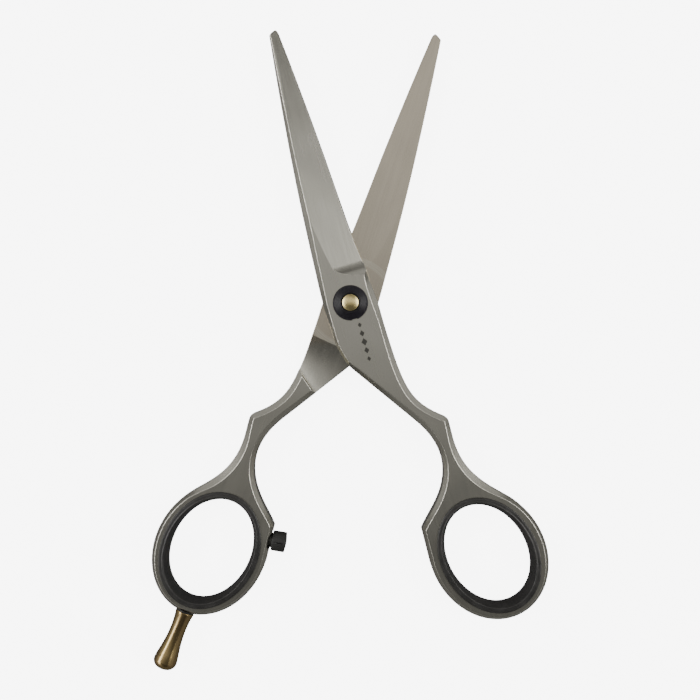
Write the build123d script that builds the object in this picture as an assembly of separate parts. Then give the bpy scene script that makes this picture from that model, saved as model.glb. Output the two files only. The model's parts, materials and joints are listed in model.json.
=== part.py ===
"""Hair cutting shears, five inch class, with a screwed-on finger rest.

Two steel halves, close to mirror images of each other, turn face to face on a keyed screw. Each half is one
piece of steel: a ground blade, a flat pivot area, a bevelled shank and a finger ring. A brass nut with a
black dial sets the tension. The rings hold soft inserts, and the finger half also carries a rubber bumper
and a turned finger rest.

Row frame: millimetres, +Z along the pivot towards the dial, origin on the pivot's axis in the plane that
the shears lie on, +Y between the open blades. Each half is drawn closed, in its own frame: the blade runs
up +Y, the handle goes to +X, z = 0 is the plane in which the halves meet, and +z is the outer side.
"""

import os
from math import asin, atan2, cos, degrees, hypot, radians, sin, tan

from build123d import *

# --- thickness and heights, measured from the shear plane ---------------------------------------------
HALF_THICKNESS = 2.3  # each half at the pivot, and each side of a ring
FACE_GAP = 0.03  # the ride face of each half stands this far off the shear plane
BEVEL_DEPTH = 0.39 * HALF_THICKNESS
LIP_THICKNESS = 0.6  # the insert's lip on the face of its ring
REST_DEPTH = HALF_THICKNESS + LIP_THICKNESS  # the shears lie on the lips and on the screw's head
PRESS_CLEARANCE = 0.01  # between parts that are pushed into each other
RUNNING_CLEARANCE = 0.03  # between parts that turn on each other

# --- pose: how far each blade leans from +Y at rest, in degrees ------------------------------------------
THUMB_LEAN = 15.6
FINGER_LEAN = 17.7

# --- blade ------------------------------------------------------------------------------------------------
TIP_Y = 57.2
BLADE_ROOT_Y = 7.3
BLADE_RUN_ON = 1.2  # the blank runs on past the rounded tip
#   share of the blade's length, spine x, edge x, and as shares of the thickness: spine wall and facet top;
#   then the width of the spine facet
BLADE_STATIONS = (
    (0.00, -5.16, 4.82, 0.61, 1.00, 1.00),
    (0.13, -4.85, 4.05, 0.61, 1.00, 1.10),
    (0.36, -4.15, 3.28, 0.56, 0.96, 1.15),
    (0.63, -3.00, 2.28, 0.48, 0.76, 0.70),
    (0.83, -2.00, 1.38, 0.38, 0.54, 0.42),
    (1.00, -1.05, 0.50, 0.28, 0.35, 0.20),
)
EDGE_BEVEL_ANGLE = 74.0  # of the cutting bevel, from the shear plane
EDGE_LAND = 0.05  # thickness left at the cutting edge
#   the tip's rounding, from the spine, over the top, to the edge: x and distance below the top
TIP_ROUNDING = ((-1.32, 0.84), (-0.90, 0.50), (-0.30, 0.14), (0.26, 0.0), (0.52, 0.28), (0.80, 1.20))

# --- blade: the ground outer face --------------------------------------------------------------------------
WHEEL_RADIUS = 4.4  # the wheel's run-out into the pivot area
#   share of the blade's length, then x and height (share of the thickness) on the spine and edge sides
GRIND_STATIONS = (
    (0.01, -1.70, 1.00, 4.90, 0.37),
    (0.20, -3.30, 1.00, 3.90, 0.34),
    (0.44, -2.85, 0.87, 3.00, 0.30),
    (1.00, -0.90, 0.34, 0.52, 0.18),
)

# --- blade: the hollow inner face ---------------------------------------------------------------------------
HOLLOW_RADIUS = 79.0
HOLLOW_DEPTH = 0.10
HOLLOW_SPAN = (7.5, 50.0)  # where the wheel enters and leaves
HOLLOW_X = -0.45
HOLLOW_LEAN = 1.5  # degrees, so that it stays between the spine and the edge

# --- inner step, where the handle starts to stand past the shear plane: (x, y) points on its line ----------
STEP_LINE = ((5.05, -16.4), (1.35, -19.3))
SCOOP_LINE = ((5.05, -8.5), (1.35, -8.9))  # where the scooped relief in front of the step starts
SCOOP_DEPTH = 0.62  # half way along it
STEP_DROP = 0.14  # where it meets the step
STEP_CHAMFER = 0.35

# --- rings -------------------------------------------------------------------------------------------------
HOLE_MAJOR = 10.4  # the finger hole through the insert, semi-axes
HOLE_MINOR = 7.95
INSERT_WALL = 1.0
LIP_OVERLAP = 0.8  # how far the insert's lip covers the face of its ring
LIP_ROUNDING = 0.28
RING_END_WIDTH = 2.25  # steel beyond the insert's seat, at the ends of the ring
RING_BEVEL = 0.75
SHOULDER_PHI = -33.0  # where the shank's outer side runs into the ring, in degrees

# --- pivot ---------------------------------------------------------------------------------------------------
SHANK_RADIUS = 2.0
HEAD_RADIUS = SHANK_RADIUS + 1.9
HEAD_SEAT_DEPTH = 0.35 * HALF_THICKNESS
HEAD_FLAT = HEAD_RADIUS - 0.5  # two flats on the head key it into its seat
HEAD_CENTRE_RADIUS = 0.6  # lathe centre in the head
BUSH_WALL = 0.5
NUT_SEAT_DEPTH = 0.42 * HALF_THICKNESS
SLIP_THICKNESS = 0.12
SPRING_THICKNESS = 0.14
SPRING_DISH = 0.08
NUT_LIP_RADIUS = SHANK_RADIUS + 0.85
SEAT_GAP = 0.3  # around washers and the nut's lip
THREAD_RADIUS = SHANK_RADIUS - 0.7
BOSS_RADIUS = SHANK_RADIUS - 0.36
BOSS_PROUD = 1.5  # above the outer face
BOSS_DOME = 0.35
DIAL_RADIUS = NUT_LIP_RADIUS + 0.67
DIAL_LIFT = 0.05  # under the dial
DIAL_RIM = 0.5
DIAL_CROWN = 1.2
DIAL_RECESS_RADIUS = BOSS_RADIUS + 0.26  # the dark ring around the boss
DIAL_RECESS_DEPTH = 0.5
DIAL_FLAT_WIDTH = 1.1  # the index flat on the dial's rim
DIAL_FLAT_DEPTH = 0.2
DIAL_FLAT_ANGLE = 15.0  # degrees from -Y
GLIDE_RADIUS = SHANK_RADIUS + 2.2
GLIDE_SEAT_DEPTH = 0.22

# --- bumper on the finger half ---------------------------------------------------------------------------------
BUMPER_Y = -50.6
BUMPER_TILT = 8.0  # degrees, its nose up towards the blades
BUMPER_RADIUS = 2.05
BUMPER_REACH = 3.2  # from the side of the ring to the nose
BUMPER_DOME = 0.28
BUMPER_SEAT_DEPTH = 0.5  # let into the side of the ring
BUMPER_NECK_RADIUS = 1.5
BUMPER_NECK_LENGTH = 0.75
BUMPER_PIN_RADIUS = 0.8
BUMPER_PIN_IN_RING = 1.25
BUMPER_PIN_IN_CAP = 2.0

# --- finger rest ---------------------------------------------------------------------------------------------------
REST_PHI = 96.4  # where it stands on the ring, in degrees
REST_TILT = 4.2  # degrees, outward
REST_LENGTH = 12.85
REST_NECK_RADIUS = 1.9
REST_WAIST_RADIUS = 1.6
REST_KNOB_RADIUS = 2.4
REST_KNOB_BACK = 1.75  # from the knob's widest place to its end
REST_END_RADIUS = 1.45
REST_WASHER_THICKNESS = 0.3
REST_STUD_RADIUS = 0.9
REST_STUD_IN_RING = 1.6
REST_STUD_IN_REST = 3.5

OVERSIZE = 12.0  # how far cutters run past what they cut
FAR = 200.0


class Ring:
    """A finger ring: an ellipse whose long axis leans outward from -Y."""

    def __init__(self, side_x, neck_y, lean, side_width, nub):
        self.lean = lean
        self.nub = nub
        self.major = HOLE_MAJOR + INSERT_WALL + RING_END_WIDTH
        self.minor = HOLE_MINOR + INSERT_WALL + side_width
        self.c, self.s = cos(radians(lean)), sin(radians(lean))
        self.x = side_x + hypot(self.minor * self.c, self.major * self.s)
        self.y = neck_y - (HOLE_MAJOR + INSERT_WALL) * self.c

    def point(self, phi, inset=0.0):
        """The outline at phi degrees: 0 is the outer side and 90 the end, away from the blades."""
        u = (self.minor - inset) * cos(radians(phi))
        v = (self.major - inset) * sin(radians(phi))
        return (self.x + u * self.c + v * self.s, self.y + u * self.s - v * self.c)

    def tangent(self, phi):
        """The outline's direction at phi, towards growing phi."""
        du, dv = -self.minor * sin(radians(phi)), self.major * cos(radians(phi))
        return (du * self.c + dv * self.s, du * self.s - dv * self.c)

    def inner_side_phi(self):
        """phi of the point nearest the other half."""
        return 180 + degrees(atan2(self.major * self.s, self.minor * self.c))

    def arc(self, phi_0, phi_1, inset=0.0):
        """The outline between two values of phi as one elliptical edge."""
        plane = Plane((self.x, self.y, 0), x_dir=(self.s, -self.c, 0), z_dir=(0, 0, 1))
        major, minor = self.major - inset, self.minor - inset
        return plane * EllipticalCenterArc((0, 0), major, minor, 90 - phi_1, arc_size=phi_1 - phi_0)

    def ellipse(self, beyond):
        """A face this far beyond the finger hole."""
        shape = Ellipse(HOLE_MAJOR + beyond, HOLE_MINOR + beyond)
        return Pos(self.x, self.y) * Rot(0, 0, self.lean - 90) * shape


THUMB_RING = Ring(1.42, -45.13, 15.9, 2.6, (1.6, -47.75))
FINGER_RING = Ring(0.42, -44.51, 10.2, 2.3, (1.0, -47.4))
MEAN_RING_X = (THUMB_RING.x + FINGER_RING.x) / 2
MEAN_RING_Y = (THUMB_RING.y + FINGER_RING.y) / 2

# --- outline of the handle, clockwise: (x, y, bevel width), before the splay that sets a ring further out ---
CUTTING_SIDE = (
    (4.82, BLADE_ROOT_Y, 0.60),
    (4.93, 3.8, 0.90),
    (5.36, -1.0, 1.25),
    (5.40, -4.5, 1.02),
    (5.52, -10.0, 1.08),
    (5.92, -16.3, 1.20),
    (7.13, -21.3, 1.20),
    (11.95, -26.95, 1.00),
)
KNUCKLE_DIRECTION = (0.80, -0.60)
KNUCKLE_END = (12.52, -28.3, 0.95)
OUTER_SHANK = ((12.39, -31.8, 1.10), (13.15, -37.0, 1.35), (16.5, -42.7, 1.20))
NUB_BEVEL = 0.70
NUB_DIRECTION = (0.62, 0.78)
INNER_SHANK = ((3.97, -44.75, 0.80), (7.45, -40.45, 0.85), (9.10, -34.5, 0.85), (7.57, -28.8, 0.95))
SHANK_STRAIGHT = ((5.87, -26.0, 1.00), (-2.45, -14.0, 0.85))
UNDER_HEEL = (-3.74, -12.0, 0.62)
HEEL_BEFORE = (-0.26, 1.0)  # directions of travel before and after the heel's corner
HEEL = (-5.02, -7.75, 0.55)
HEEL_AFTER = (-0.06, 1.0)
SPINE = ((-5.24, -3.5, 0.66), (-5.38, 1.5, 0.84), (-5.16, BLADE_ROOT_Y, 1.00))
SPINE_DIRECTION = (0.05, 1.0)


def unit(vector):
    """The direction of a plane vector."""
    length = hypot(vector[0], vector[1])
    return (vector[0] / length, vector[1] / length)


def inset_point(point, before, after):
    """A station moved to the right of the travel by its bevel, mitred between two directions of travel."""
    x, y, bevel = point
    before, after = unit(before), unit(after)
    nx, ny = before[1] + after[1], -before[0] - after[0]
    scale = bevel / (1 + before[0] * after[0] + before[1] * after[1])
    return (x + nx * scale, y + ny * scale)


def stretch(points, start, end, inset_start, inset_end):
    """One smooth stretch of the outline and its inset twin."""
    outer = Spline(*[point[:2] for point in points], tangents=[unit(start), unit(end)])
    inset = [inset_start]
    for point in points[1:-1]:
        tangent = outer.tangent_at(Vector(*point[:2]))
        inset.append(inset_point(point, (tangent.X, tangent.Y), (tangent.X, tangent.Y)))
    inset.append(inset_end)
    return outer, Spline(*inset, tangents=[unit(start), unit(end)])


def handle_outline(ring):
    """The handle's outline from the blade's root down, and its twin set in by the bevel."""

    def splayed(point):
        splay = (ring.x - MEAN_RING_X) * min(point[1], 0.0) ** 2 / MEAN_RING_Y**2
        return (point[0] + splay, point[1], point[2])

    side = [splayed(point) for point in CUTTING_SIDE]
    knuckle_end = splayed(KNUCKLE_END)
    straight = [splayed(point) for point in SHANK_STRAIGHT]
    heel = splayed(HEEL)
    under_heel = [straight[1], splayed(UNDER_HEEL), heel]
    spine = [heel] + [splayed(point) for point in SPINE]
    side_phi = ring.inner_side_phi()
    shoulder = ring.point(SHOULDER_PHI)
    ring_side = ring.point(side_phi)
    up_side = (ring.nub[0] - ring_side[0], ring.nub[1] - ring_side[1])
    up_straight = (straight[1][0] - straight[0][0], straight[1][1] - straight[0][1])
    nub = (*ring.nub, NUB_BEVEL)

    in_root = (side[0][0] - side[0][2], side[0][1])
    in_knuckle = inset_point(side[-1], KNUCKLE_DIRECTION, KNUCKLE_DIRECTION)
    in_knuckle_end = inset_point(knuckle_end, (0, -1), (0, -1))
    in_shoulder = ring.point(SHOULDER_PHI, RING_BEVEL)
    in_ring_side = ring.point(side_phi, RING_BEVEL)
    in_nub = inset_point(nub, up_side, NUB_DIRECTION)
    in_straight = [inset_point(point, up_straight, up_straight) for point in straight]
    in_heel = inset_point(heel, HEEL_BEFORE, HEEL_AFTER)
    in_spine = (spine[-1][0] + spine[-1][2], spine[-1][1])

    outer_shank = [knuckle_end] + [splayed(point) for point in OUTER_SHANK] + [(*shoulder, RING_BEVEL)]
    inner_shank = [nub] + [splayed(point) for point in INNER_SHANK] + [straight[0]]
    pairs = [
        stretch(side, (0.05, -1), KNUCKLE_DIRECTION, in_root, in_knuckle),
        stretch([side[-1], knuckle_end], KNUCKLE_DIRECTION, (0, -1), in_knuckle, in_knuckle_end),
        stretch(outer_shank, (0, -1), ring.tangent(SHOULDER_PHI), in_knuckle_end, in_shoulder),
        (ring.arc(SHOULDER_PHI, side_phi), ring.arc(SHOULDER_PHI, side_phi, RING_BEVEL)),
        (Line(ring_side, nub[:2]), Line(in_ring_side, in_nub)),
        stretch(inner_shank, NUB_DIRECTION, up_straight, in_nub, in_straight[0]),
        (Line(straight[0][:2], straight[1][:2]), Line(*in_straight)),
        stretch(under_heel, up_straight, HEEL_BEFORE, in_straight[1], in_heel),
        stretch(spine, HEEL_AFTER, SPINE_DIRECTION, in_heel, in_spine),
        (Line(spine[-1][:2], side[0][:2]), Line(in_spine, in_root)),
    ]
    return Face(Wire([pair[0] for pair in pairs])), Face(Wire([pair[1] for pair in pairs]))


def handle_blank(ring):
    """The handle at full thickness, bevelled on both faces."""
    outline, inset = handle_outline(ring)
    wall = HALF_THICKNESS - BEVEL_DEPTH
    bevel = loft([Pos(0, 0, wall) * outline, Pos(0, 0, HALF_THICKNESS) * inset], ruled=True)
    return Pos(0, 0, -wall) * extrude(outline, 2 * wall, dir=(0, 0, 1)) + bevel + mirror(bevel, Plane.XY)


def blade_y(share):
    """The station at a share of the blade's length, run on past the tip."""
    return BLADE_ROOT_Y + share * (TIP_Y + BLADE_RUN_ON - BLADE_ROOT_Y)


def section(y, corners):
    """A face at y through (x, z) corners."""
    return Face(Wire(Polyline(*[(x, y, z) for x, z in corners], close=True).edges()))


def blade_blank():
    """The blade before its outer face is ground: spine wall, spine facet and cutting bevel."""
    sections = []
    rise = HALF_THICKNESS - EDGE_LAND
    slope = tan(radians(EDGE_BEVEL_ANGLE))
    for share, spine, edge, wall, facet, width in BLADE_STATIONS:
        narrowed = facet * rise / slope
        corners = [
            (edge, 0),
            (edge, FACE_GAP + EDGE_LAND),
            (edge - narrowed, FACE_GAP + EDGE_LAND + narrowed * slope),
            (spine + width, facet * HALF_THICKNESS),
            (spine, wall * HALF_THICKNESS),
            (spine, 0),
        ]
        sections.append(section(blade_y(share), corners))
    return loft(sections)


def grind_cutters():
    """What the wheel takes off the outer face, and its run-out towards the pivot."""
    sections = []
    for share, spine_x, spine_z, edge_x, edge_z in GRIND_STATIONS:
        slope = (edge_z - spine_z) * HALF_THICKNESS / (edge_x - spine_x)
        left, right = spine_x - OVERSIZE / 2, edge_x + OVERSIZE / 2
        z_left = spine_z * HALF_THICKNESS - slope * OVERSIZE / 2
        z_right = edge_z * HALF_THICKNESS + slope * OVERSIZE / 2
        corners = [(left, z_left), (right, z_right), (right, OVERSIZE), (left, OVERSIZE)]
        sections.append(section(blade_y(share), corners))
    share, spine_x, spine_z, edge_x, edge_z = GRIND_STATIONS[0]
    across = Vector(edge_x - spine_x, 0, (edge_z - spine_z) * HALF_THICKNESS).normalized()
    up = Vector(-across.Z, 0, across.X)
    start = Vector(spine_x, blade_y(share), spine_z * HALF_THICKNESS) + up * WHEEL_RADIUS - across * 2
    wheel = Plane(start, z_dir=across) * extrude(Circle(WHEEL_RADIUS), OVERSIZE, dir=(0, 0, 1))
    return [loft(sections), wheel]


def tip_cutter():
    """Everything beyond the rounded tip."""
    points = [(x, TIP_Y - drop) for x, drop in TIP_ROUNDING]
    top = Spline(*points, tangents=[(1, 0.9), (0.25, -1)])
    far = TIP_Y + OVERSIZE
    frame = Polyline(
        points[-1],
        (OVERSIZE, points[-1][1] - 0.5),
        (OVERSIZE, far),
        (-OVERSIZE, far),
        (-OVERSIZE, points[0][1] - 0.5),
        points[0],
    )
    return Pos(0, 0, -1) * extrude(Face(Wire([*top.edges(), *frame.edges()])), OVERSIZE, dir=(0, 0, 1))


def hollow_cutter():
    """The barrel that hollows the inner face between the pivot and the front of the blade."""
    y_0, y_1 = HOLLOW_SPAN
    half, middle = (y_1 - y_0) / 2, (y_0 + y_1) / 2
    end_radius = HOLLOW_RADIUS - HOLLOW_DEPTH
    arc = ThreePointArc((end_radius, -half), (HOLLOW_RADIUS, 0), (end_radius, half))
    lines = Polyline((end_radius, half), (0, half), (0, -half), (end_radius, -half))
    barrel = revolve(Face(Wire([*arc.edges(), *lines.edges()])), Axis.Y, 360)
    height = FACE_GAP + HOLLOW_DEPTH - HOLLOW_RADIUS
    return Pos(HOLLOW_X, middle, height) * Rot(0, 0, HOLLOW_LEAN) * barrel


def on_line(line, x):
    """The y at x on the straight line through two points."""
    (x_0, y_0), (x_1, y_1) = line
    return y_0 + (x - x_0) * (y_1 - y_0) / (x_1 - x_0)


def step_cutter():
    """Clears the inner side from the step forward: the ride face, the scoop in front of the step, and its edge."""
    face, low = -HALF_THICKNESS, -HALF_THICKNESS - OVERSIZE
    sections = []
    for x in (-OVERSIZE, OVERSIZE):
        step, start = on_line(STEP_LINE, x), on_line(SCOOP_LINE, x)
        deep = FACE_GAP + STEP_DROP
        half_way = (x, (step + start) / 2, FACE_GAP + SCOOP_DEPTH)
        curve = ThreePointArc((x, step, deep), half_way, (x, start, FACE_GAP))
        frame = Polyline(
            (x, start, FACE_GAP),
            (x, FAR, FACE_GAP),
            (x, FAR, low),
            (x, step - STEP_CHAMFER, low),
            (x, step - STEP_CHAMFER, face),
            (x, step, face + STEP_CHAMFER),
            (x, step, deep),
        )
        sections.append(Face(Wire([*curve.edges(), *frame.edges()])))
    return loft(sections, ruled=True)


def half_blank(ring):
    """Blade, pivot area, shank and ring in one piece, without bores."""
    steel = handle_blank(ring) - step_cutter()
    slab = Pos(0, 0, FACE_GAP) * extrude(Rectangle(FAR, FAR), HALF_THICKNESS - FACE_GAP, dir=(0, 0, 1))
    steel = steel + (blade_blank() & slab)
    steel = steel - tip_cutter()
    for cutter in grind_cutters():
        steel = steel - cutter
    steel = steel - hollow_cutter()
    return steel - extrude(ring.ellipse(INSERT_WALL), OVERSIZE / 2, both=True)


def disc(radius, z_0, z_1):
    """A cylinder about +Z between two heights."""
    return Pos(0, 0, z_0) * extrude(Circle(radius), z_1 - z_0, dir=(0, 0, 1))


def turned(edges):
    """A solid of revolution about +Z from edges drawn as (radius, height)."""
    return revolve(Plane.XZ * Face(Wire(edges)), Axis.Z, 360)


def dome(radius, shoulder, top):
    """A spherical cap's profile from its shoulder to the axis, drawn as (radius, height)."""
    rise = top - shoulder
    sphere = (radius**2 + rise**2) / (2 * rise)
    half_angle = asin(radius / sphere) / 2
    middle = (sphere * sin(half_angle), top - sphere * (1 - cos(half_angle)))
    return ThreePointArc((radius, shoulder), middle, (0, top))


def front_half():
    """The thumb half."""
    seat_floor = HALF_THICKNESS - NUT_SEAT_DEPTH
    steel = half_blank(THUMB_RING)
    steel = steel - disc(SHANK_RADIUS + RUNNING_CLEARANCE + BUSH_WALL, -OVERSIZE, OVERSIZE)
    return steel - disc(NUT_LIP_RADIUS + SEAT_GAP, seat_floor, OVERSIZE)


def rear_half():
    """The finger half, with the seats of the screw's head, bumper and finger rest."""
    steel = half_blank(FINGER_RING)
    steel = steel - disc(SHANK_RADIUS + PRESS_CLEARANCE, -OVERSIZE, OVERSIZE)
    steel = steel - head_shape(PRESS_CLEARANCE, HALF_THICKNESS - HEAD_SEAT_DEPTH, OVERSIZE)
    steel = steel - disc(GLIDE_RADIUS + PRESS_CLEARANCE, -OVERSIZE, FACE_GAP + GLIDE_SEAT_DEPTH)
    pin = disc(BUMPER_PIN_RADIUS + PRESS_CLEARANCE, -BUMPER_PIN_IN_RING, OVERSIZE)
    spot = disc(BUMPER_RADIUS + SEAT_GAP / 2, 0, OVERSIZE)
    steel = steel - bumper_place() * pin - bumper_place() * spot
    stud = disc(REST_STUD_RADIUS + PRESS_CLEARANCE, -REST_STUD_IN_RING, OVERSIZE)
    spot = disc(REST_NECK_RADIUS + 2 * SEAT_GAP, 0, OVERSIZE)
    return steel - rest_place() * stud - rest_place() * spot


def head_shape(clearance, z_0, z_1):
    """The screw's head or its seat: a disc with two flats, on the finger half's outer side."""
    area = Circle(HEAD_RADIUS + clearance) & Rectangle(2 * (HEAD_FLAT + clearance), FAR)
    return Pos(0, 0, z_0) * extrude(area, z_1 - z_0, dir=(0, 0, 1))


def pivot_screw():
    """Keyed head, plain shank and thread, in the finger half's frame."""
    head_floor = HALF_THICKNESS - HEAD_SEAT_DEPTH
    shank_top = -(HALF_THICKNESS - NUT_SEAT_DEPTH)
    head = head_shape(0, head_floor, REST_DEPTH)
    head = chamfer(head.faces().sort_by(Axis.Z)[-1].edges(), 0.15)
    head = head - disc(HEAD_CENTRE_RADIUS, REST_DEPTH - 0.4, REST_DEPTH + 1)
    thread = disc(THREAD_RADIUS, -HALF_THICKNESS - BOSS_PROUD + 0.9, shank_top)
    return head + disc(SHANK_RADIUS, shank_top, head_floor) + thread


def pivot_bush():
    """The bearing sleeve in the thumb half."""
    inner = SHANK_RADIUS + RUNNING_CLEARANCE
    top = HALF_THICKNESS - NUT_SEAT_DEPTH
    return disc(inner + BUSH_WALL - PRESS_CLEARANCE, FACE_GAP, top) - disc(inner, 0, OVERSIZE)


def slip_washer():
    """The thin washer under the spring, on the floor of the nut's seat."""
    floor = HALF_THICKNESS - NUT_SEAT_DEPTH
    return disc(NUT_LIP_RADIUS, floor, floor + SLIP_THICKNESS) - disc(SHANK_RADIUS + SEAT_GAP, 0, OVERSIZE)


def spring_height():
    """Underside of the spring washer, a hair above the slip washer."""
    return HALF_THICKNESS - NUT_SEAT_DEPTH + SLIP_THICKNESS + 0.02


def spring_washer():
    """A dished washer that loads the nut."""
    z_0 = spring_height()
    inner, outer = SHANK_RADIUS + SEAT_GAP, NUT_LIP_RADIUS
    points = [(inner, z_0), (outer, z_0 + SPRING_DISH)]
    points += [(outer, z_0 + SPRING_DISH + SPRING_THICKNESS), (inner, z_0 + SPRING_THICKNESS)]
    return turned(Polyline(*points, close=True).edges())


def pivot_nut():
    """The brass nut: a lip over the spring and a domed boss that carries the dial."""
    bottom = spring_height() + SPRING_THICKNESS + SPRING_DISH
    lip_top = HALF_THICKNESS - 0.05
    top = HALF_THICKNESS + BOSS_PROUD
    shoulder = top - BOSS_DOME
    profile = Polyline(
        (0, top),
        (0, bottom),
        (NUT_LIP_RADIUS, bottom),
        (NUT_LIP_RADIUS, lip_top),
        (BOSS_RADIUS, lip_top),
        (BOSS_RADIUS, shoulder),
    )
    nut = turned([*profile.edges(), *dome(BOSS_RADIUS, shoulder, top).edges()])
    return nut - disc(THREAD_RADIUS + RUNNING_CLEARANCE, 0, top - 0.75)


def adjuster_dial():
    """The black cone around the boss, with an index flat on its rim."""
    z_0 = HALF_THICKNESS + DIAL_LIFT
    rim, crown = HALF_THICKNESS + DIAL_RIM, HALF_THICKNESS + DIAL_CROWN
    inner = BOSS_RADIUS + PRESS_CLEARANCE
    profile = Polyline(
        (inner, z_0),
        (DIAL_RADIUS - 0.1, z_0),
        (DIAL_RADIUS, z_0 + 0.1),
        (DIAL_RADIUS, rim - 0.1),
        (DIAL_RADIUS - 0.1, rim),
        (DIAL_RADIUS - 0.28, rim + 0.02),
        (DIAL_RECESS_RADIUS + 0.1, crown),
        (DIAL_RECESS_RADIUS, crown - 0.05),
        (DIAL_RECESS_RADIUS, crown - DIAL_RECESS_DEPTH),
        (inner, crown - DIAL_RECESS_DEPTH),
        close=True,
    )
    beyond = Rectangle(DIAL_FLAT_WIDTH, 2, align=(Align.CENTER, Align.MAX))
    flat = Rot(0, 0, DIAL_FLAT_ANGLE) * Pos(0, DIAL_FLAT_DEPTH - DIAL_RADIUS) * extrude(beyond, OVERSIZE, dir=(0, 0, 1))
    return turned(profile.edges()) - flat


def glide_washer():
    """The thin sliding disc between the halves, let into the finger half."""
    return disc(GLIDE_RADIUS, 0, FACE_GAP + GLIDE_SEAT_DEPTH) - disc(SHANK_RADIUS + PRESS_CLEARANCE, -1, OVERSIZE)


def ring_insert(ring):
    """The soft liner of a finger hole: a sleeve with a rounded lip on both faces of the ring."""
    lips = extrude(ring.ellipse(INSERT_WALL + LIP_OVERLAP), REST_DEPTH, both=True)
    groove = ring.ellipse(INSERT_WALL + LIP_OVERLAP + 1) - ring.ellipse(INSERT_WALL - PRESS_CLEARANCE)
    insert = lips - extrude(groove, HALF_THICKNESS, both=True)
    insert = insert - extrude(ring.ellipse(0), OVERSIZE, both=True)
    faces = [face for face in insert.faces() if abs(abs(face.center().Z) - REST_DEPTH) < 0.01]
    return fillet([edge for face in faces for edge in face.edges()], LIP_ROUNDING)


def bumper_place():
    """On the floor of its seat in the side of the finger ring, +Z out along the bumper."""
    foot, nub = FINGER_RING.point(FINGER_RING.inner_side_phi()), FINGER_RING.nub
    x = foot[0] + (nub[0] - foot[0]) * (BUMPER_Y - foot[1]) / (nub[1] - foot[1])
    tilt = radians(BUMPER_TILT)
    return Plane((x + BUMPER_SEAT_DEPTH, BUMPER_Y, 0), z_dir=(-cos(tilt), sin(tilt), 0)).location


def bumper():
    """The rubber stop: a neck against the ring and a domed head, hollow for its pin."""
    crest = BUMPER_SEAT_DEPTH + BUMPER_REACH
    shoulder = crest - BUMPER_DOME
    profile = Polyline(
        (0, crest),
        (0, 0),
        (BUMPER_NECK_RADIUS, 0),
        (BUMPER_NECK_RADIUS, BUMPER_NECK_LENGTH),
        (BUMPER_RADIUS - 0.15, BUMPER_NECK_LENGTH),
        (BUMPER_RADIUS, BUMPER_NECK_LENGTH + 0.15),
        (BUMPER_RADIUS, shoulder - 0.12),
        (BUMPER_RADIUS - 0.12, shoulder),
    )
    cap = turned([*profile.edges(), *dome(BUMPER_RADIUS - 0.12, shoulder, crest).edges()])
    return bumper_place() * (cap - disc(BUMPER_PIN_RADIUS + PRESS_CLEARANCE, -1, BUMPER_PIN_IN_CAP + PRESS_CLEARANCE))


def bumper_pin():
    """The steel pin that holds the bumper in the ring."""
    return bumper_place() * disc(BUMPER_PIN_RADIUS, -BUMPER_PIN_IN_RING, BUMPER_PIN_IN_CAP)


def rest_place():
    """At the end of the finger ring, +Z out along the finger rest."""
    x, y = FINGER_RING.point(REST_PHI, 0.2)
    tilt = radians(REST_TILT)
    return Plane((x, y, 0), z_dir=(sin(tilt), -cos(tilt), 0)).location


def finger_rest():
    """The turned brass rest: a slim waist that flares to a knob."""
    z_0 = REST_WASHER_THICKNESS + 0.02
    knob = REST_LENGTH - REST_KNOB_BACK
    end = (REST_END_RADIUS, REST_LENGTH - 0.28)
    foot = Polyline(
        (0, REST_LENGTH),
        (0, z_0),
        (REST_NECK_RADIUS - 0.1, z_0),
        (REST_NECK_RADIUS, z_0 + 0.1),
        (REST_NECK_RADIUS, z_0 + 0.4),
    )
    flare = Spline(
        (REST_NECK_RADIUS, z_0 + 0.4),
        (REST_WAIST_RADIUS + 0.05, 0.21 * REST_LENGTH),
        (REST_WAIST_RADIUS, 0.35 * REST_LENGTH),
        (0.5 * (REST_WAIST_RADIUS + REST_KNOB_RADIUS), 0.67 * REST_LENGTH),
        (REST_KNOB_RADIUS, knob),
        tangents=[(-0.2, 1), (0.1, 1)],
    )
    shoulder = (REST_KNOB_RADIUS - 0.13 * REST_KNOB_BACK, knob + 0.5 * REST_KNOB_BACK)
    rounding = ThreePointArc((REST_KNOB_RADIUS, knob), shoulder, end)
    body = turned([edge for part in (foot, flare, rounding, dome(*end, REST_LENGTH)) for edge in part.edges()])
    return rest_place() * (body - disc(REST_STUD_RADIUS + RUNNING_CLEARANCE, 0, REST_STUD_IN_REST + 0.3))


def finger_rest_stud():
    """The stud that the finger rest screws onto."""
    return rest_place() * disc(REST_STUD_RADIUS, -REST_STUD_IN_RING, REST_STUD_IN_REST)


def finger_rest_washer():
    """The dark washer between the ring and the finger rest."""
    bore = disc(REST_STUD_RADIUS + PRESS_CLEARANCE, -1, OVERSIZE)
    return rest_place() * (disc(REST_NECK_RADIUS + 0.05, 0, REST_WASHER_THICKNESS) - bore)


def on_thumb_side(shape):
    """From the thumb half's own frame to the rest pose."""
    return Pos(0, 0, REST_DEPTH) * Rot(0, 0, THUMB_LEAN) * shape


def on_finger_side(shape):
    """From the finger half's own frame, turned over, to the rest pose."""
    return Pos(0, 0, REST_DEPTH) * Rot(0, 0, -FINGER_LEAN) * Rot(0, 180, 0) * shape


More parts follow.
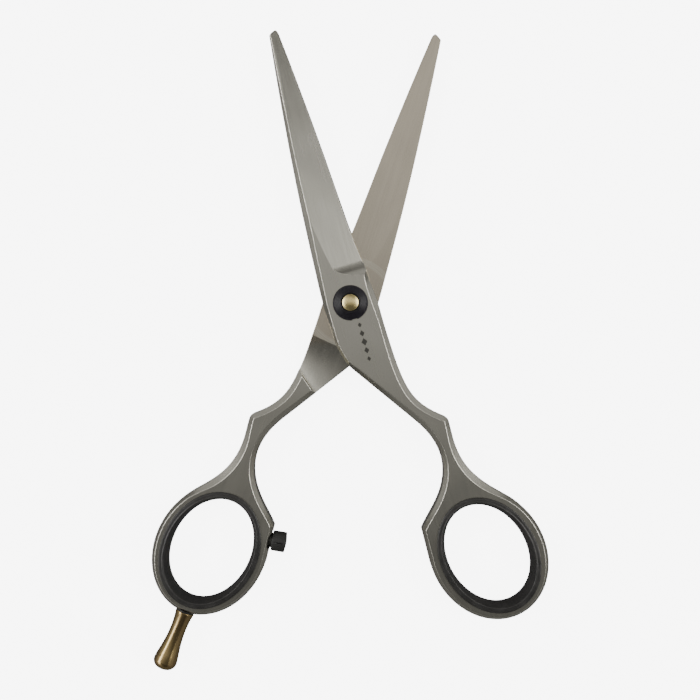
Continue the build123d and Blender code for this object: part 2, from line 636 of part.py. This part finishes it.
def main():
    """Writes every piece."""
    pieces = {
        "front_half": on_thumb_side(front_half()),
        "thumb_ring_insert": on_thumb_side(ring_insert(THUMB_RING)),
        "pivot_bush": on_thumb_side(pivot_bush()),
        "slip_washer": on_thumb_side(slip_washer()),
        "rear_half": on_finger_side(rear_half()),
        "finger_ring_insert": on_finger_side(ring_insert(FINGER_RING)),
        "pivot_screw": on_finger_side(pivot_screw()),
        "glide_washer": on_finger_side(glide_washer()),
        "bumper": on_finger_side(bumper()),
        "bumper_pin": on_finger_side(bumper_pin()),
        "finger_rest": on_finger_side(finger_rest()),
        "finger_rest_stud": on_finger_side(finger_rest_stud()),
        "finger_rest_washer": on_finger_side(finger_rest_washer()),
        "spring_washer": Pos(0, 0, REST_DEPTH) * spring_washer(),
        "pivot_nut": Pos(0, 0, REST_DEPTH) * pivot_nut(),
        "adjuster_dial": Pos(0, 0, REST_DEPTH) * adjuster_dial(),
    }
    os.makedirs("parts", exist_ok=True)
    for name, shape in pieces.items():
        export_step(shape, f"parts/{name}.step")


main()
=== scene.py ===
"""Looks for the hair cutting shears: materials, soft pieces, light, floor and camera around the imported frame.

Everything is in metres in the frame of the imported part, unless a comment says millimetres. Lengths that
repeat the CAD model's are worked out from the frame's own meshes and boxes.
"""

import json
import math

import bpy
import numpy as np
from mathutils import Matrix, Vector


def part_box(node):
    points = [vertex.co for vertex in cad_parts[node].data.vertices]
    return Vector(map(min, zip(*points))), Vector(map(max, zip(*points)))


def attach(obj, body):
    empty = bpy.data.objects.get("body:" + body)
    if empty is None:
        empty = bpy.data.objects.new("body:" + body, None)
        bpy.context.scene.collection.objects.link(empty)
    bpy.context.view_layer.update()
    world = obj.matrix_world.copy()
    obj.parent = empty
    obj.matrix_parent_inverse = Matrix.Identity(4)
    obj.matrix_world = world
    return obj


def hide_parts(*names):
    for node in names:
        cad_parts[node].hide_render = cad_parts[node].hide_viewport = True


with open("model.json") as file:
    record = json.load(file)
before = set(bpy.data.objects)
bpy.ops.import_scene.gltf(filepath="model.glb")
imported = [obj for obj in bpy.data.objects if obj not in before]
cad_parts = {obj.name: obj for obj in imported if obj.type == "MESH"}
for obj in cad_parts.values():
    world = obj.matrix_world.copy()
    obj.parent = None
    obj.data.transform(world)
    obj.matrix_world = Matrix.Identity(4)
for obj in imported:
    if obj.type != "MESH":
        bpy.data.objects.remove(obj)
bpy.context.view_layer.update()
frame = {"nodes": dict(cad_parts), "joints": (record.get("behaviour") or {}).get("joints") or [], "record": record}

MM = 0.001
JOINTS = {joint["name"]: joint for joint in frame["joints"]}
SHEAR_Z = JOINTS["blade_pivot"]["pos_m"][2]  # height of the plane in which the halves meet
REST_AXIS = JOINTS["finger_rest_turn"]["axis"]
REST_AT = JOINTS["finger_rest_turn"]["pos_m"]

# lean of each blade from +Y, which the grinding marks and the ornament follow
THUMB_LEAN = math.radians(15.6)
FINGER_LEAN = math.radians(-17.7)
# lean of what sits on the rings
THUMB_RING_LEAN = THUMB_LEAN + math.radians(15.9)
FINGER_RING_LEAN = FINGER_LEAN - math.radians(10.2)
BUMPER_LEAN = FINGER_LEAN + math.radians(8.0)  # from +X


# --- nodes --------------------------------------------------------------------------------------------


def node(tree, kind, inputs=None, **settings):
    """Adds a node. An input is a value or another node's output."""
    made = tree.nodes.new(kind)
    for key, value in settings.items():
        setattr(made, key, value)
    for socket, value in (inputs or {}).items():
        if isinstance(value, bpy.types.NodeSocket):
            tree.links.new(value, made.inputs[socket])
        else:
            made.inputs[socket].default_value = value
    return made


def math_node(tree, operation, a, b=0.0, clamp=False):
    return node(tree, "ShaderNodeMath", {0: a, 1: b}, operation=operation, use_clamp=clamp).outputs[0]


def product(tree, value, *factors):
    """A value multiplied by each of the factors."""
    for factor in factors:
        value = math_node(tree, "MULTIPLY", value, factor)
    return value


def remap(tree, value, from_min, from_max, to_min, to_max, smooth=False):
    """A value from one range into another, held at the ends."""
    inputs = {"Value": value, "From Min": from_min, "From Max": from_max, "To Min": to_min, "To Max": to_max}
    kind = "SMOOTHSTEP" if smooth else "LINEAR"
    return node(tree, "ShaderNodeMapRange", inputs, interpolation_type=kind).outputs["Result"]


def opaque(colour):
    """Red, green and blue with full alpha. Another node's output stays as it is."""
    return colour if isinstance(colour, bpy.types.NodeSocket) else (*colour, 1)


def mix(tree, factor, a, b, blend="MIX"):
    """A colour between a and b."""
    inputs = {0: factor, 6: opaque(a), 7: opaque(b)}
    return node(tree, "ShaderNodeMix", inputs, data_type="RGBA", blend_type=blend).outputs[2]


def mix_value(tree, factor, a, b):
    """A number between a and b."""
    return node(tree, "ShaderNodeMix", {0: factor, 2: a, 3: b}, data_type="FLOAT").outputs[0]


def place(tree, size, turn=(0, 0, 0), at=(0, 0, 0)):
    """The object's own coordinates, moved, turned and divided by a feature's size."""
    own = node(tree, "ShaderNodeTexCoord").outputs["Object"]
    inputs = {"Vector": own, "Location": at, "Rotation": turn, "Scale": size}
    return node(tree, "ShaderNodeMapping", inputs, vector_type="TEXTURE").outputs[0]


def in_millimetres(tree, turn=(0, 0, 0), at=(0, 0, 0)):
    """The object's own x, y and z, moved and turned, as three outputs in millimetres."""
    return node(tree, "ShaderNodeSeparateXYZ", {0: place(tree, (MM, MM, MM), turn, at)}).outputs


def from_axis(tree, x, y):
    """Distance from the Z axis."""
    flat = node(tree, "ShaderNodeCombineXYZ", {0: x, 1: y}).outputs[0]
    return node(tree, "ShaderNodeVectorMath", {0: flat}, operation="LENGTH").outputs["Value"]


def noise(tree, where, detail=2.0, roughness=0.5):
    inputs = {"Vector": where, "Scale": 1.0, "Detail": detail, "Roughness": roughness}
    return node(tree, "ShaderNodeTexNoise", inputs).outputs["Fac"]


def speckle(tree, size, detail=3.0, roughness=0.5):
    """Noise with the same size each way, in millimetres."""
    return noise(tree, place(tree, (size * MM, size * MM, size * MM)), detail, roughness)


def streaks(tree, across, along, lean, detail, roughness=0.5, at=(0, 0, 0)):
    """Noise drawn out along a blade, from the width and length of its marks in millimetres."""
    where = place(tree, (across * MM, along * MM, across * MM), (0, 0, lean), at)
    return noise(tree, where, detail, roughness)


def lines(tree, distance, scale, detail=2.0):
    """Noise that changes with one distance only, such as the marks of a lathe."""
    inputs = {"W": distance, "Scale": scale, "Detail": detail}
    return node(tree, "ShaderNodeTexNoise", inputs, noise_dimensions="1D").outputs["Fac"]


def bump(tree, height, distance, normal=None):
    """A bump of this height in metres on top of another normal."""
    inputs = {"Height": height, "Distance": distance, "Strength": 1.0}
    if normal is not None:
        inputs["Normal"] = normal
    return node(tree, "ShaderNodeBump", inputs).outputs[0]


def rounded_edges(tree, radius):
    """The normal rounded over sharp edges, and a mask that is 1 on them."""
    soft = node(tree, "ShaderNodeBevel", {"Radius": radius}, samples=8).outputs[0]
    true = node(tree, "ShaderNodeNewGeometry").outputs["Normal"]
    dot = node(tree, "ShaderNodeVectorMath", {0: soft, 1: true}, operation="DOT_PRODUCT").outputs["Value"]
    return soft, remap(tree, dot, 0.995, 0.93, 0.0, 1.0)


def shade_in_hollows(tree, reach, closed, free, **settings):
    """A mask for painted shade in hollows: 0.9 where the surface is closed in within the reach, 0 where it is
    free.
    """
    sky = node(tree, "ShaderNodeAmbientOcclusion", {"Distance": reach}, samples=8, **settings).outputs["AO"]
    return remap(tree, sky, closed, free, 0.9, 0.0)


def empty_material():
    """A material and its node tree, with nothing in it."""
    material = bpy.data.materials.new("material")
    material.use_nodes = True
    material.node_tree.nodes.clear()
    return material, material.node_tree


def new_material():
    """A material with nothing but a Principled shader."""
    material, tree = empty_material()
    shader = node(tree, "ShaderNodeBsdfPrincipled")
    node(tree, "ShaderNodeOutputMaterial", {0: shader.outputs[0]})
    return material, tree, shader


def connect(tree, shader, **sockets):
    """Sets the shader's sockets to outputs or constants, named with underscores for spaces."""
    for key, value in sockets.items():
        socket = shader.inputs[key.replace("_", " ")]
        if isinstance(value, bpy.types.NodeSocket):
            tree.links.new(value, socket)
        else:
            socket.default_value = value


# --- the halves' steel --------------------------------------------------------------------------------

STEEL_LIGHT, STEEL_DARK = (0.575, 0.56, 0.492), (0.54, 0.525, 0.460)  # its streaks
# pale colour for the edges: wear, and a painted highlight along them
STEEL_WEAR_AND_HIGHLIGHT = (0.86, 0.83, 0.76)
# painted shade for creases and hollows
STEEL_PAINTED_SHADE = (0.03, 0.028, 0.026)
STEEL_ROUGHNESS = 0.24
STEEL_EDGE = 0.21 * MM  # radius of its rounded edges
POLISH_WAVE = 0.16 * MM
GRIND_DEPTH = 0.0004 * MM


def steel(lean, marks):
    """Satin ground steel: grinding marks along the blade, soft waves of hand polishing, wear and a painted
    highlight on the edges, and painted shade in hollows.

    marks adds what only this half has.
    """
    material, tree, shader = new_material()
    soft, edge = rounded_edges(tree, STEEL_EDGE)
    waves = streaks(tree, 9, 15, lean, 1.0)
    fine = streaks(tree, 0.07, 6, lean, 2.0)
    broad = streaks(tree, 0.45, 18, lean, 3.0, 0.6)
    cloud = streaks(tree, 5, 11, lean, 3.0, 0.55, (3 * MM, 0, 0))
    streak = mix_value(tree, 0.4, broad, cloud)
    colour = mix(tree, remap(tree, streak, 0.35, 0.65, 0.0, 1.0), STEEL_DARK, STEEL_LIGHT)
    # the edges made paler: partly wear, partly a painted highlight on the rounded edges
    colour = mix(tree, product(tree, edge, 0.7), colour, STEEL_WEAR_AND_HIGHLIGHT)
    # painted shade: darker in creases and hollows within 0.8 mm
    colour = mix(tree, shade_in_hollows(tree, 0.8 * MM, 0.45, 0.85, only_local=True), colour, STEEL_PAINTED_SHADE)
    rough = remap(tree, streak, 0.3, 0.7, STEEL_ROUGHNESS + 0.05, STEEL_ROUGHNESS - 0.04)
    colour, rough = marks(tree, colour, rough)
    normal = bump(tree, waves, POLISH_WAVE, soft)
    normal = bump(tree, broad, GRIND_DEPTH, normal)
    normal = bump(tree, fine, GRIND_DEPTH, normal)
    connect(tree, shader, Base_Color=colour, Metallic=1.0, Roughness=rough, Normal=normal)
    return material


MARK_AT = (2.8 * MM, -7.8 * MM, 0)
MARK_PITCH = 1.75  # from one diamond to the next, in millimetres
MARK_DIAMONDS = (0.66, 0.83, 1.0, 0.83, 0.66)  # their sizes, as shares of the middle one's
DIAMOND_HALF_WIDTH, DIAMOND_HALF_LENGTH = 0.62, 0.80  # in millimetres
MARK_COLOUR = (0.045, 0.044, 0.042)
MARK_ROUGHNESS = 0.5


def etched_mark(tree, colour, rough):
    """A plain etched ornament below the pivot: a row of diamonds, the largest in the middle."""
    x, y, z = in_millimetres(tree, (0, 0, THUMB_LEAN), MARK_AT)
    across = math_node(tree, "ABSOLUTE", x)
    mark = 0.0
    for index, share in enumerate(MARK_DIAMONDS):
        middle = (index - (len(MARK_DIAMONDS) - 1) / 2) * MARK_PITCH
        along = math_node(tree, "ABSOLUTE", math_node(tree, "SUBTRACT", y, middle))
        wide = math_node(tree, "DIVIDE", across, DIAMOND_HALF_WIDTH * share)
        reach = math_node(tree, "ADD", wide, math_node(tree, "DIVIDE", along, DIAMOND_HALF_LENGTH * share))
        mark = math_node(tree, "MAXIMUM", remap(tree, reach, 0.92, 1.08, 1.0, 0.0), mark)
    upper_face = remap(tree, z, SHEAR_Z / MM + 1.0, SHEAR_Z / MM + 1.1, 0.0, 1.0)
    mark = product(tree, mark, upper_face, 0.88)
    return mix(tree, mark, colour, MARK_COLOUR), mix_value(tree, mark, rough, MARK_ROUGHNESS)


BLADE_WARMTH = (1.05, 0.975, 0.90)  # multiplies the steel's colour
RUBBED_STEEL = (0.80, 0.78, 0.66)


def ride_face_marks(tree, colour, rough):
    """The warmer polish of the finger half's blade, and rubbed arcs where the thumb half slides over it."""
    x, y, z = in_millimetres(tree)
    blade = remap(tree, y, -9.0, -7.0, 0.0, 1.0, smooth=True)
    colour = mix(tree, blade, colour, BLADE_WARMTH, "MULTIPLY")
    radius = from_axis(tree, x, y)
    inner = remap(tree, radius, 7.9, 8.2, 0.0, 1.0, smooth=True)
    outer = remap(tree, radius, 9.3, 9.6, 1.0, 0.0, smooth=True)
    face = remap(tree, z, SHEAR_Z / MM - 0.12, SHEAR_Z / MM - 0.06, 0.0, 1.0)
    arcs = remap(tree, lines(tree, radius, 5.0, 3.0), 0.35, 0.6, 0.2, 1.0)
    rubbed = product(tree, inner, outer, face, arcs, 0.45)
    return mix(tree, rubbed, colour, RUBBED_STEEL), rough


# --- the other materials ------------------------------------------------------------------------------


def turned_metal(colour, shade, roughness, pitch, turn=(0, 0, 0), at=(0, 0, 0)):
    """Metal from the lathe: rings about the local Z axis, their pitch in millimetres, some tarnish and a painted
    highlight on its edges.
    """
    material, tree, shader = new_material()
    soft, edge = rounded_edges(tree, 0.12 * MM)
    x, y, z = in_millimetres(tree, turn, at)
    rings = lines(tree, math_node(tree, "ADD", from_axis(tree, x, y), z), 1 / pitch)
    tarnish = noise(tree, place(tree, (2.6 * MM, 2.6 * MM, 6 * MM), turn, at), 3.0, 0.5)
    tint = mix(tree, remap(tree, tarnish, 0.35, 0.7, 0.0, 1.0), colour, shade)
    # painted highlight: a lighter colour on the rounded edges
    bright = tuple(min(1.0, channel * 1.45) for channel in colour)
    tint = mix(tree, product(tree, edge, 0.45), tint, bright)
    rough = remap(tree, tarnish, 0.3, 0.7, roughness - 0.05, roughness + 0.09)
    normal = bump(tree, rings, 0.004 * MM, soft)
    connect(tree, shader, Base_Color=tint, Metallic=1.0, Roughness=rough, Normal=normal)
    return material


# painted shade for the rubber's hollows and where it meets other parts
RUBBER_PAINTED_SHADE = (0.003, 0.003, 0.003)


def rubber(colour, roughness):
    """Moulded rubber: a fine grain, paler rubbed patches and painted shade in low places and where it meets other
    parts.
    """
    material, tree, shader = new_material()
    pores = speckle(tree, 0.09, 3.0, 0.6)
    patches = speckle(tree, 3, 4.0, 0.6)
    rubbed = tuple(channel * 1.5 + 0.002 for channel in colour)
    tint = mix(tree, remap(tree, patches, 0.45, 0.75, 0.0, 1.0), colour, rubbed)
    # painted shade in hollows and beside other parts
    tint = mix(tree, shade_in_hollows(tree, 0.5 * MM, 0.35, 0.85), tint, RUBBER_PAINTED_SHADE)
    rough = remap(tree, patches, 0.3, 0.7, roughness - 0.06, roughness + 0.08)
    normal = bump(tree, pores, 0.006 * MM)
    normal = bump(tree, patches, 0.03 * MM, normal)
    connect(tree, shader, Base_Color=tint, Roughness=rough, Normal=normal, Specular_IOR_Level=0.45)
    return material


DIAL_BLACK, DIAL_SPECK = (0.014, 0.0125, 0.017), (0.024, 0.022, 0.028)
# lighter colour for the edges: rubbed, and a painted highlight
DIAL_RIM_WEAR_AND_HIGHLIGHT = (0.05, 0.048, 0.05)


def dial_finish():
    """Black anodising over a turned cone: violet-black, with fine rings and lighter edges, rubbed and with a
    painted highlight.
    """
    material, tree, shader = new_material()
    soft, edge = rounded_edges(tree, 0.10 * MM)
    x, y, _ = in_millimetres(tree)
    rings = lines(tree, from_axis(tree, x, y), 16.0)
    specks = speckle(tree, 0.5)
    tint = mix(tree, remap(tree, specks, 0.4, 0.8, 0.0, 1.0), DIAL_BLACK, DIAL_SPECK)
    # the edges made lighter: partly rubbed, partly a painted highlight
    tint = mix(tree, product(tree, edge, 0.5), tint, DIAL_RIM_WEAR_AND_HIGHLIGHT)
    rough = remap(tree, specks, 0.3, 0.7, 0.27, 0.36)
    normal = bump(tree, rings, 0.0035 * MM, soft)
    connect(tree, shader, Base_Color=tint, Roughness=rough, Normal=normal, Specular_IOR_Level=0.28)
    return material


def nylon(colour):
    """Plain washer stock."""
    material, tree, shader = new_material()
    grain = speckle(tree, 0.15)
    tint = mix(tree, grain, colour, tuple(channel * 0.85 for channel in colour))
    connect(tree, shader, Base_Color=tint, Roughness=0.5, Normal=bump(tree, grain, 0.004 * MM))
    return material


def turn_to(axis):
    """Euler angles that carry +Z onto an axis."""
    return tuple(Vector(axis).to_track_quat("Z", "Y").to_euler())


materials = {
    "thumb_half_steel": steel(THUMB_LEAN, etched_mark),
    "finger_half_steel": steel(FINGER_LEAN, ride_face_marks),
    "screw_steel": turned_metal((0.55, 0.55, 0.54), (0.40, 0.39, 0.38), 0.28, 0.12),
    "spring_steel": turned_metal((0.42, 0.42, 0.43), (0.30, 0.30, 0.31), 0.30, 0.10),
    "bush_bronze": turned_metal((0.52, 0.34, 0.18), (0.40, 0.25, 0.13), 0.32, 0.10),
    "boss_brass": turned_metal((0.97, 0.80, 0.39), (0.90, 0.72, 0.32), 0.25, 0.10),
    "rest_brass": turned_metal(
        (0.50, 0.375, 0.17), (0.34, 0.235, 0.12), 0.20, 0.16, turn_to(REST_AXIS), REST_AT
    ),
    "washer_nylon": nylon((0.75, 0.74, 0.70)),
    "dial_black": dial_finish(),
    "black_washer": nylon((0.012, 0.012, 0.012)),
    "insert_rubber": rubber((0.031, 0.0303, 0.0295), 0.32),
    "bumper_rubber": rubber((0.025, 0.0245, 0.0235), 0.42),
}
for name, material in materials.items():
    material.name = name

SLOT_OF = {part["node"]: part["material_slot"] for part in frame["record"]["subparts"]}
for name, cad_object in frame["nodes"].items():
    for material_slot in cad_object.material_slots:
        material_slot.material = materials[SLOT_OF[name]]


# --- soft pieces --------------------------------------------------------------------------------------


def mesh_points(name):
    """The CAD node's vertices as an array."""
    mesh = frame["nodes"][name].data
    points = np.zeros(len(mesh.vertices) * 3)
    mesh.vertices.foreach_get("co", points)
    return points.reshape(-1, 3)


def new_object(name, points, faces, material):
    """A smooth-shaded mesh object."""
    mesh = bpy.data.meshes.new(name)
    mesh.from_pydata(points, [], faces)
    mesh.update()
    mesh.shade_smooth()
    mesh.materials.append(material)
    made = bpy.data.objects.new(name, mesh)
    bpy.context.scene.collection.objects.link(made)
    return made


def loop_faces(rows, columns, close_rows=True):
    """Quads between rows of points that each close on themselves."""
    faces = []
    for row in range(rows if close_rows else rows - 1):
        here, after = row * columns, (row + 1) % rows * columns
        for column in range(columns):
            beside = (column + 1) % columns
            faces.append((here + column, here + beside, after + beside, after + column))
    return faces


# the liner's section in millimetres, from the hole's edge outward and from the shear plane up: a slanting
# wall, a crisp inner bead, a flat lip, its rounded outer edge and the seat in the ring
LINER_SECTION = (
    (0.00, 0.00),
    (0.03, 0.55),
    (0.14, 1.15),
    (0.30, 1.75),
    (0.46, 2.28),
    (0.55, 2.56),
    (0.60, 2.70),
    (0.68, 2.82),
    (0.80, 2.88),
    (0.92, 2.86),
    (1.00, 2.80),
    (1.12, 2.78),
    (1.35, 2.79),
    (1.55, 2.77),
    (1.70, 2.69),
    (1.78, 2.56),
    (1.79, 2.42),
    (1.74, 2.31),
    (1.00, 2.31),
    (0.98, 2.24),
    (0.98, 0.00),
)
LINER_WALL = 1.8 * MM  # from the hole to the lip's outer edge
LINER_COLUMNS = 192


def ring_liner(name, node_name, body, lean):
    """A soft liner on the same ellipses as its CAD solid."""
    points = mesh_points(node_name)[:, :2]
    centre = (points.min(0) + points.max(0)) / 2
    turn = np.array([[math.cos(lean), -math.sin(lean)], [math.sin(lean), math.cos(lean)]])
    minor, major = ((points - centre) @ turn).max(0) - LINER_WALL
    above = [(beyond * MM, z * MM) for beyond, z in LINER_SECTION]
    below = [(beyond, -z) for beyond, z in reversed(above[1:-1])]
    section = above + below
    made = []
    for beyond, z in section:
        for column in range(LINER_COLUMNS):
            angle = 2 * math.pi * column / LINER_COLUMNS
            own = np.array([(minor + beyond) * math.cos(angle), (major + beyond) * math.sin(angle)])
            x, y = turn @ own + centre
            made.append((x, y, SHEAR_Z + z))
    piece = new_object(name, made, loop_faces(len(section), LINER_COLUMNS), materials["insert_rubber"])
    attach(piece, body)
    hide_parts(node_name)


# the bumper's profile in millimetres, distance along its axis from its seat and radius: the blind bore for
# its pin, the neck, the barrel with the rows that its slit needs, and a crowned nose with a crisp edge
BUMPER_PROFILE = (
    (2.05, 0.00),
    (2.05, 0.83),
    (0.00, 0.83),
    (0.00, 1.44),
    (0.06, 1.50),
    (0.70, 1.50),
    (0.76, 1.60),
    (0.76, 1.88),
    (0.80, 1.97),
    (0.90, 2.01),
    (1.20, 2.03),
    (1.60, 2.04),
    (1.80, 2.045),
    (2.10, 2.045),
    (2.60, 2.045),
    (2.90, 2.045),
    (3.10, 2.045),
    (3.34, 2.045),
    (3.42, 2.03),
    (3.46, 1.97),
    (3.50, 1.80),
    (3.58, 1.30),
    (3.65, 0.70),
    (3.685, 0.30),
    (3.69, 0.00),
)
BUMPER_COLUMNS = 200
BUMPER_PIN_MIDDLE = 0.375  # from the seat, in millimetres
SLIT_FROM, SLIT_TO = 1.75, 3.05  # along the bumper, in millimetres
SLIT_HALF_WIDTH = 0.13
SLIT_DEPTH = 0.32


def slit_depth(distance, angle, off):
    """How far the slit lowers a point of the barrel, in millimetres."""
    if not SLIT_FROM <= distance <= SLIT_TO or math.sin(angle) <= 0:
        return 0.0
    return SLIT_DEPTH * max(0.0, 1 - abs(off) / SLIT_HALF_WIDTH)


def ring_bumper():
    """The rubber bumper, turned about its pin's axis, with a short slit in the side that faces up."""
    low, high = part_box("bumper_pin")
    along = np.array([math.cos(BUMPER_LEAN), math.sin(BUMPER_LEAN), 0.0])
    beside = np.array([-along[1], along[0], 0.0])
    up = np.array([0.0, 0.0, 1.0])
    seat = (np.array(low) + np.array(high)) / 2 - along * BUMPER_PIN_MIDDLE * MM
    bottom_at, *rings, nose_at = BUMPER_PROFILE
    points = []
    for distance, radius in rings:
        for column in range(BUMPER_COLUMNS):
            angle = 2 * math.pi * column / BUMPER_COLUMNS
            off = radius * math.cos(angle)
            height = radius * math.sin(angle) - slit_depth(distance, angle, off)
            points.append(tuple(seat + (along * distance + beside * off + up * height) * MM))
    faces = loop_faces(len(rings), BUMPER_COLUMNS, close_rows=False)
    bottom, nose = len(points), len(points) + 1
    points += [tuple(seat + along * distance * MM) for distance, _ in (bottom_at, nose_at)]
    last = (len(rings) - 1) * BUMPER_COLUMNS
    for column in range(BUMPER_COLUMNS):
        after = (column + 1) % BUMPER_COLUMNS
        faces.append((bottom, after, column))
        faces.append((nose, last + column, last + after))
    piece = new_object("ring_bumper", points, faces, materials["bumper_rubber"])
    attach(piece, "finger_half")
    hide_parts("bumper")


ring_liner("thumb_ring_liner", "thumb_ring_insert", "thumb_half", THUMB_RING_LEAN)
ring_liner("finger_ring_liner", "finger_ring_insert", "finger_half", FINGER_RING_LEAN)
ring_bumper()


# --- floor, light and camera --------------------------------------------------------------------------

FLOOR_HALF = 3.0
FLOOR_DROP = 0.05 * MM  # below the part
FLOOR_GLOW = 7.0
FLOOR_ALBEDO, REFLECTED_ALBEDO = 0.95, 0.21
BACKDROP_GLOW = 5.0
LIGHT_COLOUR = (1.0, 0.99, 0.965, 1)


def floor_paint():
    """White for the camera, and dark in what the steel reflects, so that the bevels keep their contrast."""
    material, tree = empty_material()
    paint = node(tree, "ShaderNodeBsdfDiffuse", {"Color": opaque([FLOOR_ALBEDO] * 3)}).outputs[0]
    lift = node(tree, "ShaderNodeEmission", {"Color": (1, 1, 1, 1), "Strength": FLOOR_GLOW}).outputs[0]
    seen = node(tree, "ShaderNodeAddShader", {0: paint, 1: lift}).outputs[0]
    reflected = node(tree, "ShaderNodeBsdfDiffuse", {"Color": opaque([REFLECTED_ALBEDO] * 3)}).outputs[0]
    camera_ray = node(tree, "ShaderNodeLightPath").outputs["Is Camera Ray"]
    both = node(tree, "ShaderNodeMixShader", {0: camera_ray, 1: reflected, 2: seen}).outputs[0]
    node(tree, "ShaderNodeOutputMaterial", {0: both})
    material.name = "floor_paint"
    return material


corners = [(x * FLOOR_HALF, y * FLOOR_HALF, 0) for x, y in ((-1, -1), (1, -1), (1, 1), (-1, 1))]
floor = new_object("floor", corners, [(0, 1, 2, 3)], floor_paint())
floor.location.z = -FLOOR_DROP


# The studio's light depends on the direction (x, y, z) in which the steel looks: x to the right, y along the
# blades and z up, each from -1 to 1.


def box_light(tree, x, y):
    """The soft boxes: brightest to the sides, weak beyond both ends and at the lower right."""
    sideways = math_node(tree, "ADD", product(tree, x, x, 13.0), 0.55)
    beyond_rings = remap(tree, y, -0.45, -0.1, 0.12, 1.0)
    beyond_tips = remap(tree, y, 0.25, 0.60, 1.0, 0.12)
    lower_right = product(tree, remap(tree, x, 0.0, 0.3, 0.0, 1.0), remap(tree, y, -0.3, -0.12, 0.8, 0.0))
    return product(tree, sideways, beyond_rings, beyond_tips, math_node(tree, "SUBTRACT", 1.0, lower_right))


def ceiling_light(tree, x, y):
    """The ceiling: lighter towards the blades, with a lighter and then a darker patch at the right."""
    rise = remap(tree, y, -0.28, 0.36, 0.10, 0.80, smooth=True)
    patches = remap(tree, y, 0.27, 0.38, 0.52, -0.60)
    at_right = product(tree, remap(tree, x, 0.15, 0.30, 0.0, 1.0), remap(tree, y, 0.10, 0.22, 0.0, 1.0))
    beyond_tips = remap(tree, y, 0.36, 0.62, 1.0, 0.35)
    return product(tree, math_node(tree, "ADD", rise, product(tree, patches, at_right)), beyond_tips)


def horizon_light(tree, x, y):
    """The horizon: dim, and a little lighter beyond the tips and to the sides."""
    return math_node(tree, "ADD", remap(tree, y, -1.0, 1.0, 0.16, 0.50), product(tree, x, x, 0.08))


def studio():
    """A dim ceiling over the shears, a bright ring of soft boxes and a dim horizon."""
    world = bpy.data.worlds.new("studio")
    world.use_nodes = True
    tree = world.node_tree
    tree.nodes.clear()
    direction = node(tree, "ShaderNodeTexCoord").outputs["Generated"]
    x, y, z = node(tree, "ShaderNodeSeparateXYZ", {0: direction}).outputs
    ceiling = remap(tree, z, 0.70, 0.78, 0.0, 1.0, smooth=True)
    horizon = remap(tree, z, 0.50, 0.60, 1.0, 0.0, smooth=True)
    boxes = math_node(tree, "SUBTRACT", math_node(tree, "SUBTRACT", 1.0, ceiling), horizon, clamp=True)
    total = product(tree, boxes, box_light(tree, x, y))
    total = math_node(tree, "ADD", total, product(tree, ceiling, ceiling_light(tree, x, y)))
    total = math_node(tree, "ADD", total, product(tree, horizon, horizon_light(tree, x, y)))
    camera_ray = node(tree, "ShaderNodeLightPath").outputs["Is Camera Ray"]
    shown = mix_value(tree, camera_ray, total, BACKDROP_GLOW)
    background = node(tree, "ShaderNodeBackground", {"Color": LIGHT_COLOUR, "Strength": shown})
    node(tree, "ShaderNodeOutputWorld", {0: background.outputs[0]})
    bpy.context.scene.world = world


studio()

CAMERA_X, CAMERA_Y = -0.08 * MM, -9.44 * MM
CAMERA_HEIGHT = 0.1755  # above the shear plane
FRAME_WIDTH = 0.141844  # across the picture, in the shear plane
SENSOR_WIDTH = 36  # in millimetres, as the lens is

camera_data = bpy.data.cameras.new("camera")
camera_data.sensor_width = SENSOR_WIDTH
camera_data.lens = SENSOR_WIDTH * CAMERA_HEIGHT / FRAME_WIDTH
camera = bpy.data.objects.new("camera", camera_data)
camera.location = (CAMERA_X, CAMERA_Y, SHEAR_Z + CAMERA_HEIGHT)
bpy.context.scene.collection.objects.link(camera)
bpy.context.scene.camera = camera
